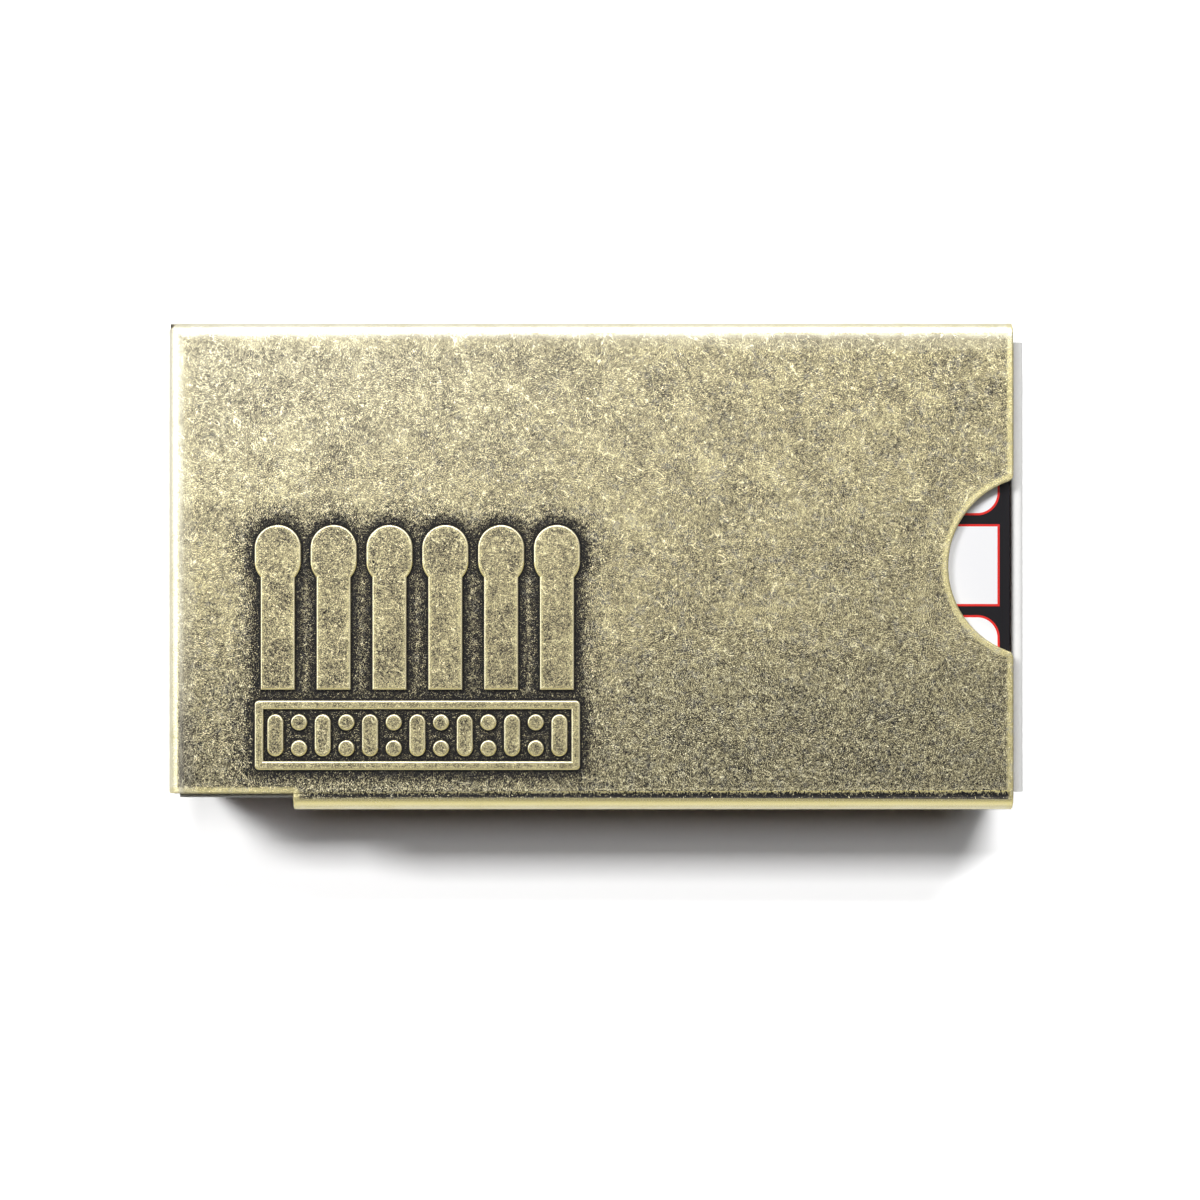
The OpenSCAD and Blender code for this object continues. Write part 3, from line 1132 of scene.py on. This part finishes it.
        # Painted sheen: the colour greys towards the corner by the wall side and the closed end,
        # where the lamps' sheen falls, and beside the bends there.
        pale = (at.y - self.sheet.lip_y).fade(*gilding.painted_sheen_y)
        pale = pale * (at.x - self.sheet.closed_x).fade(*gilding.painted_sheen_x)
        tarnish = graph.noise(at.vector, self.tarnish).fade(*self.tarnish_limits)
        tarnish = tarnish * (1.0 - marks.raised) * (1.0 - marks.bend)
        tarnish = tarnish * tone.fade(*self.tarnished_tones)
        tarnish_and_sheen_grey = (pale * gilding.pale).most(tarnish * gilding.tarnish)
        tarnish_and_sheen_grey = tarnish_and_sheen_grey.most(marks.beside * gilding.beside)
        colour = graph.mix(gilt * clean, graph.ramp(tone, scale), self.gold)
        # Lays the painted reflection on the lip-side bends.
        colour = graph.mix(lip_side * clean, colour, self.lip_bend_painted_reflection)
        return graph.mix(tarnish_and_sheen_grey, colour, graph.grey(colour))

    def pattern(self, graph: Graph, at: Place, shader: bpy.types.Node) -> None:
        """Lays patina, flecks and wear."""
        marks = self.marks(graph, at)
        tone = self.tone(marks)
        shine = tone.fade(*self.shiny_tones)
        graph.fill(
            shader,
            Base_Color=self.colour(graph, at, marks, tone),
            Metallic=graph.lerp(shine, *self.metallic),
            Roughness=graph.lerp(shine, *self.roughness),
            Specular_IOR_Level=self.specular,
            Coat_Weight=shine * self.coat,
            Coat_Roughness=self.coat_roughness,
        )
        inward = (self.burr_width - marks.edge).most(0.0)
        worn_corner = inward * inward / (2 * self.burr_width)
        worn_corner = worn_corner * at.facing_z.size().fade(*self.burr_facing)
        relief = tone * self.tone_relief + marks.flecks * self.fleck_relief
        self.bump(graph, shader, relief - worn_corner, 1.0)


@dataclass(frozen=True)
class PrintedCard(Finish):
    """White card, printed black on its broad faces with a grid of white tiles outlined in red."""

    centre_x: float
    centre_y: float
    half_width: float
    tile: float = 11.0
    grout: float = 1.2
    corner_r: float = 3.0
    columns_beside: float = 4.0
    outline: float = 0.3
    bare: float = 0.6
    disc_r: float = 2.5
    disc_away: float = 9.0
    soft: float = 0.02
    tuft: float = 0.8
    relief: float = 0.02
    bump_strength: float = 0.5
    odd_limits: Limits = (0.2, 0.3)
    shade_limits: Limits = (0.35, 0.65)
    printed_facing: Limits = (0.8, 0.9)
    core_facing: Limits = (0.8, 0.95)
    roughness: Limits = (0.75, 0.5)
    specular: float = 0.15
    ink: Colour = srgb(20, 19, 22)
    red: Colour = srgb(230, 50, 44)
    white: Colour = srgb(252, 252, 254)
    light: Colour = srgb(248, 247, 244)
    shade: Colour = srgb(236, 234, 229)
    core_light: Colour = srgb(196, 186, 168)
    core_shade: Colour = srgb(150, 140, 124)

    def tiles(self, graph: Graph, at: Place) -> Field:
        """Colours the printed face: tiles with round or square corners, every other with a disc.

        Args:
            graph: The graph to add the nodes to.
            at: The shaded point.

        Returns:
            The colour.
        """
        pitch = self.tile + self.grout
        across = (at.x - self.centre_x) / pitch
        along = (at.y - self.centre_y) / pitch
        column = (across + 0.5).whole()
        row = (along + 0.5).whole()
        tile_x = (across - column) * pitch
        tile_y = (along - row) * pitch
        half_pair = (column + row) * 0.5
        odd = (half_pair - half_pair.whole()).fade(*self.odd_limits)
        (square,) = graph.use(
            Effect.PANEL,
            X=tile_x,
            Y=tile_y,
            Half_Width=self.tile / 2,
            Half_Height=self.tile / 2,
            Corner=odd * self.corner_r,
        )
        disc = self.disc_r - graph.length(tile_x, tile_y) - (1.0 - odd) * self.disc_away
        beyond = (column.size() - self.columns_beside - 0.5) * pitch
        shape = square.most(disc).most(beyond)
        colour = graph.mix(shape.fade(self.soft, -self.soft), self.ink, self.red)
        inner = (shape + self.outline).fade(self.soft, -self.soft)
        return graph.mix(inner, colour, self.white)

    def pattern(self, graph: Graph, at: Place, shader: bpy.types.Node) -> None:
        """Prints the tiles, and leaves the sides and the folds bare."""
        inside = (at.y - self.centre_y).size() - (self.half_width - self.bare)
        printed = at.facing_z.size().fade(*self.printed_facing)
        printed = printed * inside.fade(self.soft, -self.soft)
        (fibre,) = graph.use(Effect.FIBRE, Vector=at.vector, Size=self.tuft)
        face = graph.mix(fibre.fade(*self.shade_limits), self.shade, self.light)
        core = graph.mix(fibre, self.core_shade, self.core_light)
        card = graph.mix(at.facing_x.size().fade(*self.core_facing), face, core)
        graph.fill(
            shader,
            Base_Color=graph.mix(printed, card, self.tiles(graph, at)),
            Roughness=graph.lerp(printed, *self.roughness),
            Specular_IOR_Level=self.specular,
        )
        self.bump(graph, shader, fibre * self.relief, self.bump_strength)


@dataclass(frozen=True)
class PlainCard(Finish):
    """Bleached, uncoated card."""

    light: Colour = srgb(254, 254, 252)
    shade: Colour = srgb(248, 247, 245)
    tuft: float = 0.9
    shade_limits: Limits = (0.3, 0.7)
    roughness: float = 0.8
    relief: float = 0.03
    bump_strength: float = 0.5

    def pattern(self, graph: Graph, at: Place, shader: bpy.types.Node) -> None:
        """Lays the fibres."""
        (fibre,) = graph.use(Effect.FIBRE, Vector=at.vector, Size=self.tuft)
        card = graph.mix(fibre.fade(*self.shade_limits), self.shade, self.light)
        graph.fill(shader, Base_Color=card, Roughness=self.roughness)
        self.bump(graph, shader, fibre * self.relief, self.bump_strength)


@dataclass(frozen=True)
class StrikingCoat(Finish):
    """Dark gritty coat, printed in small dots and scored along by struck matches."""

    coat: Colour = srgb(72, 46, 38)
    card: Colour = srgb(120, 88, 72)
    scored: Colour = srgb(158, 134, 118)
    dot_pitch: float = 0.9
    grit_size: float = 0.12
    score: Grain = Grain(1.6, 4.0, 0.7)
    score_stretch: Stretch = (0.06, 1.0, 1.4)
    score_limits: Limits = (0.6, 0.72)
    score_weight: float = 0.55
    dot_limits: Limits = (0.5, 0.32)
    dot_ragged: float = 0.3
    roughness: float = 0.9
    bump_strength: float = 0.8
    grit_relief: float = 0.06
    coat_relief: float = 0.03

    def pattern(self, graph: Graph, at: Place, shader: bpy.types.Node) -> None:
        """Lays dots, grit and scores."""
        across = at.x / self.dot_pitch
        row = (at.z / self.dot_pitch).whole()
        across = across + (row * 0.5 - (row * 0.5).whole())
        dots = graph.length(across - across.whole() - 0.5, at.z / self.dot_pitch - row - 0.5)
        (grit,) = graph.use(Effect.GRIT, Vector=at.vector, Size=self.grit_size)
        scores = graph.noise(graph.turned(at.vector, 0.0, self.score_stretch), self.score)
        coat = (dots + (grit - 0.5) * self.dot_ragged).fade(*self.dot_limits)
        colour = graph.mix(coat, self.card, self.coat)
        scored = scores.fade(*self.score_limits) * self.score_weight
        colour = graph.mix(scored, colour, self.scored)
        graph.fill(shader, Base_Color=colour, Roughness=self.roughness)
        relief = grit * self.grit_relief + coat * self.coat_relief
        self.bump(graph, shader, relief, self.bump_strength)


@dataclass(frozen=True)
class StickWood(Finish):
    """Pale split softwood, each stick its own shade."""

    pitch: float
    first_x: float
    layer: int
    pale: Colour = srgb(238, 218, 178)
    deep: Colour = srgb(206, 172, 122)
    grain: Grain = Grain(3.4, 4.0, 0.65)
    grain_stretch: Stretch = (1.0, 0.05, 1.0)
    own_shift: float = 40.0
    grain_weight: float = 0.7
    own_weight: float = 0.5
    deep_limits: Limits = (0.3, 0.9)
    roughness: float = 0.75
    relief: float = 0.05
    bump_strength: float = 0.7

    def pattern(self, graph: Graph, at: Place, shader: bpy.types.Node) -> None:
        """Runs the grain along the sticks."""
        number = ((at.x - self.first_x) / self.pitch + 0.5).whole()
        random = graph.node("ShaderNodeTexWhiteNoise", noise_dimensions="2D")
        graph.feed(random.inputs["Vector"], graph.vector(number, float(self.layer), 0.0))
        own = Field(graph, random.outputs["Value"])
        shifted = graph.vector(at.x + own * self.own_shift, at.y, at.z)
        grain = graph.noise(graph.turned(shifted, 0.0, self.grain_stretch), self.grain)
        depth = (grain * self.grain_weight + own * self.own_weight).fade(*self.deep_limits)
        wood = graph.mix(depth, self.pale, self.deep)
        graph.fill(shader, Base_Color=wood, Roughness=self.roughness)
        self.bump(graph, shader, grain * self.relief, self.bump_strength)


@dataclass(frozen=True)
class MatchHeadCoat(Finish):
    """Dark red head compound, matte and grainy."""

    red: Colour = srgb(142, 40, 32)
    deep: Colour = srgb(96, 26, 22)
    grit_size: float = 0.25
    lumps: Grain = Grain(1.1)
    deep_limits: Limits = (0.3, 0.8)
    roughness: Limits = (0.6, 0.85)
    grit_relief: float = 0.08
    lump_relief: float = 0.2
    bump_strength: float = 0.8

    def pattern(self, graph: Graph, at: Place, shader: bpy.types.Node) -> None:
        """Lays the grains."""
        (grit,) = graph.use(Effect.GRIT, Vector=at.vector, Size=self.grit_size)
        lumps = graph.noise(at.vector, self.lumps)
        colour = graph.mix(grit.fade(*self.deep_limits), self.red, self.deep)
        graph.fill(shader, Base_Color=colour, Roughness=graph.lerp(grit, *self.roughness))
        relief = grit * self.grit_relief + lumps * self.lump_relief
        self.bump(graph, shader, relief, self.bump_strength)


@dataclass
class Sleeve:
    """The folded metal sleeve."""

    node: str = "sleeve_shell"
    emblem_from_end: float = 11.8
    emblem_from_lips: float = 5.45
    emblem_height: float = 0.45

    def dress(self) -> None:
        """Puts the antique brass on the sheet."""
        low, high = box_mm(self.node)
        sheet = SheetLayout(
            mouth_x=high.x,
            closed_x=low.x,
            lip_y=low.y,
            wall_y=high.y,
            top_z=high.z - self.emblem_height,
        )
        emblem = EmblemLayout(
            left=low.x + self.emblem_from_end, bottom=low.y + self.emblem_from_lips
        )
        dress_node(self.node, AntiqueBrass("antique_brass", sheet, emblem))


@dataclass
class Matchbox:
    """The printed card box with its striking coats."""

    box: str = "card_box"
    strikers: tuple[str, ...] = ("striker_lip_side", "striker_wall_side")

    def dress(self) -> None:
        """Prints the card and coats the sides."""
        low, high = box_mm(self.box)
        middle = (low + high) / 2
        card = PrintedCard(
            "printed_card",
            centre_x=middle.x,
            centre_y=middle.y,
            half_width=high.y - middle.y,
        )
        dress_node(self.box, card)
        coat = StrikingCoat("striking_coat")
        for striker in self.strikers:
            dress_node(striker, coat)


@dataclass
class Tray:
    """The card tray with its layers of matches."""

    tray: str = "card_tray"
    layers: int = 4
    pitch: float = 3.1

    def dress(self) -> None:
        """Puts card, wood and head compound on."""
        dress_node(self.tray, PlainCard("plain_card"))
        low, _ = box_mm("match_heads_1")
        first_x = low.x + self.pitch / 2
        heads = MatchHeadCoat("match_head")
        for layer in range(1, self.layers + 1):
            wood = StickWood(f"stick_wood_{layer}", self.pitch, first_x, layer)
            dress_node(f"match_sticks_{layer}", wood)
            dress_node(f"match_heads_{layer}", heads)


_materials: dict[Finish, bpy.types.Material] = {}


def dress_node(node: str, finish: Finish) -> None:
    """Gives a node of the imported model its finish.

    Args:
        node: The node's name.
        finish: The finish, whose material is built once.
    """
    if finish not in _materials:
        _materials[finish] = finish.material()
    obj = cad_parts[node]
    obj.data.materials.clear()
    obj.data.materials.append(_materials[finish])
    log.info("%s dressed in %s", node, finish.name)


class SeenBy(Enum):
    """Which surfaces a lamp works on: those that scatter light, or those that mirror it."""

    MATTE = "matte"
    GLOSSY = "glossy"


@dataclass(frozen=True)
class Softbox:
    """A soft rectangular lamp that faces the object.

    Attributes:
        toward: Direction from the object to the lamp.
        run: Direction in which the lamp's width runs.
        radiance: Brightness of its face, where 1 is white.
    """

    name: str
    toward: tuple[float, float, float]
    distance: float
    width: float
    height: float
    radiance: float
    seen_by: SeenBy
    run: tuple[float, float, float] = (1.0, 0.0, 0.0)

    def build(self, aim: Vector) -> None:
        """Sets the lamp up.

        Args:
            aim: The point that it faces.
        """
        data = bpy.data.lights.new(self.name, "AREA")
        data.shape = "RECTANGLE"
        data.size = self.width
        data.size_y = self.height
        data.energy = math.pi * self.width * self.height * self.radiance
        lamp = add_object(self.name, data)
        back = Vector(self.toward).normalized()
        across = Vector(self.run)
        across = (across - back * across.dot(back)).normalized()
        turn = Matrix((across, back.cross(across), back)).transposed()
        lamp.matrix_world = Matrix.Translation(aim + back * self.distance) @ turn.to_4x4()
        lamp.visible_glossy = self.seen_by is not SeenBy.MATTE
        lamp.visible_diffuse = self.seen_by is not SeenBy.GLOSSY


MATTE_AWAY = 1.6
GLOSSY_AWAY = 0.6
OVERHEAD_AWAY = 0.8
SOFTBOXES = (
    Softbox("key_lamp", (0.22, 0.86, 1.0), MATTE_AWAY, 0.6, 0.3, 27.0, SeenBy.MATTE),
    Softbox("corner_lamp", (-0.61, 0.48, 1.0), MATTE_AWAY, 0.5, 0.26, 31.0, SeenBy.MATTE),
    Softbox("soft_lamp", (0.15, 0.23, 1.0), MATTE_AWAY, 0.66, 0.35, 4.0, SeenBy.MATTE),
    Softbox("overhead_lamp", (0.0, 0.14, 1.0), OVERHEAD_AWAY, 0.9, 0.3, 1.5, SeenBy.GLOSSY),
    Softbox("wall_side_lamp", (0.05, 1.09, 1.0), GLOSSY_AWAY, 0.5, 0.76, 2.5, SeenBy.GLOSSY),
    Softbox(
        "closed_end_lamp",
        (-1.15, 0.45, 1.0),
        GLOSSY_AWAY,
        0.55,
        0.72,
        1.9,
        SeenBy.GLOSSY,
        run=(0.45, 1.15, 0.0),
    ),
    Softbox(
        "glint_lamp",
        (-0.45, 1.1, 1.0),
        GLOSSY_AWAY,
        0.8,
        0.14,
        5.4,
        SeenBy.GLOSSY,
        run=(1.1, 0.45, 0.0),
    ),
    Softbox("lip_side_lamp", (0.0, -1.0, 0.35), GLOSSY_AWAY, 0.9, 0.4, 0.25, SeenBy.GLOSSY),
    Softbox(
        "mouth_lamp",
        (0.8, 0.9, 1.0),
        GLOSSY_AWAY,
        0.2,
        0.4,
        2.0,
        SeenBy.GLOSSY,
        run=(-0.9, 0.8, 0.0),
    ),
)


@dataclass
class Studio:
    """Floor, lamps, sky and the camera that looks straight down."""

    view_width: float = 0.16008
    view_height: float = 0.2668
    sensor_width_mm: float = 36.0
    clip_start: float = 0.01
    camera_x: float = 0.00134
    camera_y: float = -0.00452
    floor_half: float = 3.0
    floor_colour: float = 0.93
    floor_seen: float = 2.0
    floor_mirrored: float = 0.14
    matte_sky: float = 0.004
    horizon: float = 1.0
    zenith: float = 0.4
    zenith_limits: Limits = (0.55, 0.9)

    def build(self, face_z: float) -> None:
        """Builds the studio.

        Args:
            face_z: Height of the sleeve's front, at which the view is view_width wide.
        """
        self.floor()
        self.sky()
        aim = Vector((0.0, 0.0, face_z / 2))
        for softbox in SOFTBOXES:
            softbox.build(aim)
        self.camera(face_z)

    def floor(self) -> None:
        """Lays the pale floor, which the camera sees as bright as an overexposed sheet of paper.

        The metal mirrors it a little brighter than it is.
        """
        mesh = bpy.data.meshes.new("floor")
        half = self.floor_half
        mesh.from_pydata(
            [(-half, -half, 0), (half, -half, 0), (half, half, 0), (-half, half, 0)],
            [],
            [(0, 1, 2, 3)],
        )
        floor = add_object("floor", mesh)
        material = bpy.data.materials.new("pale_floor")
        material.use_nodes = True
        graph = Graph(material.node_tree)
        path = graph.node("ShaderNodeLightPath")
        glossy = Field(graph, path.outputs["Is Glossy Ray"]) * self.floor_mirrored
        seen = Field(graph, path.outputs["Is Camera Ray"]).most(glossy)
        paper = graph.node("ShaderNodeBsdfDiffuse")
        plain, shown = (self.floor_colour,) * 3, (self.floor_seen,) * 3
        graph.feed(paper.inputs["Color"], graph.mix(seen, plain, shown))
        graph.end_in(paper)
        mesh.materials.append(material)

    def sky(self) -> None:
        """Makes the surroundings: dim as light, and white where metal or the camera sees them.

        What metal sees is dimmer straight above, as in a studio with its lamps off to the side.
        """
        world = bpy.data.worlds.new("studio")
        world.use_nodes = True
        graph = Graph(world.node_tree)
        path = graph.node("ShaderNodeLightPath")
        way = Field(graph, graph.node("ShaderNodeTexCoord").outputs["Generated"])
        up = graph.split(way)[2]
        mirrored = graph.lerp(up.fade(*self.zenith_limits), self.horizon, self.zenith)
        scattered = Field(graph, path.outputs["Diffuse Depth"]).least(1.0)
        glossy = Field(graph, path.outputs["Is Glossy Ray"]) * (1.0 - scattered)
        camera = Field(graph, path.outputs["Is Camera Ray"])
        strength = graph.lerp(glossy, self.matte_sky, mirrored)
        strength = graph.lerp(camera, strength, 1.0)
        sky = graph.node("ShaderNodeBackground")
        graph.feed(sky.inputs["Strength"], strength)
        graph.end_in(sky, "ShaderNodeOutputWorld")
        bpy.context.scene.world = world

    def camera(self, face_z: float) -> None:
        """Hangs the camera straight above, at the photograph's framing."""
        data = bpy.data.cameras.new("camera")
        data.sensor_width = self.sensor_width_mm
        data.lens = data.sensor_width * self.view_height / self.view_width
        data.clip_start = self.clip_start
        camera = add_object("camera", data)
        camera.location = (self.camera_x, self.camera_y, face_z + self.view_height)
        bpy.context.scene.camera = camera


def main() -> None:
    """Dresses every piece and lights the scene."""
    logging.basicConfig(level=logging.INFO, format="%(name)s: %(message)s")
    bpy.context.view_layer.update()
    for part in (Sleeve(), Matchbox(), Tray()):
        part.dress()
    face_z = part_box("sleeve_shell")[1].z - Sleeve.emblem_height * MM
    Studio().build(face_z)
    bpy.context.scene.view_settings.view_transform = "Standard"
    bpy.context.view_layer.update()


if __name__ == "__main__":
    main()
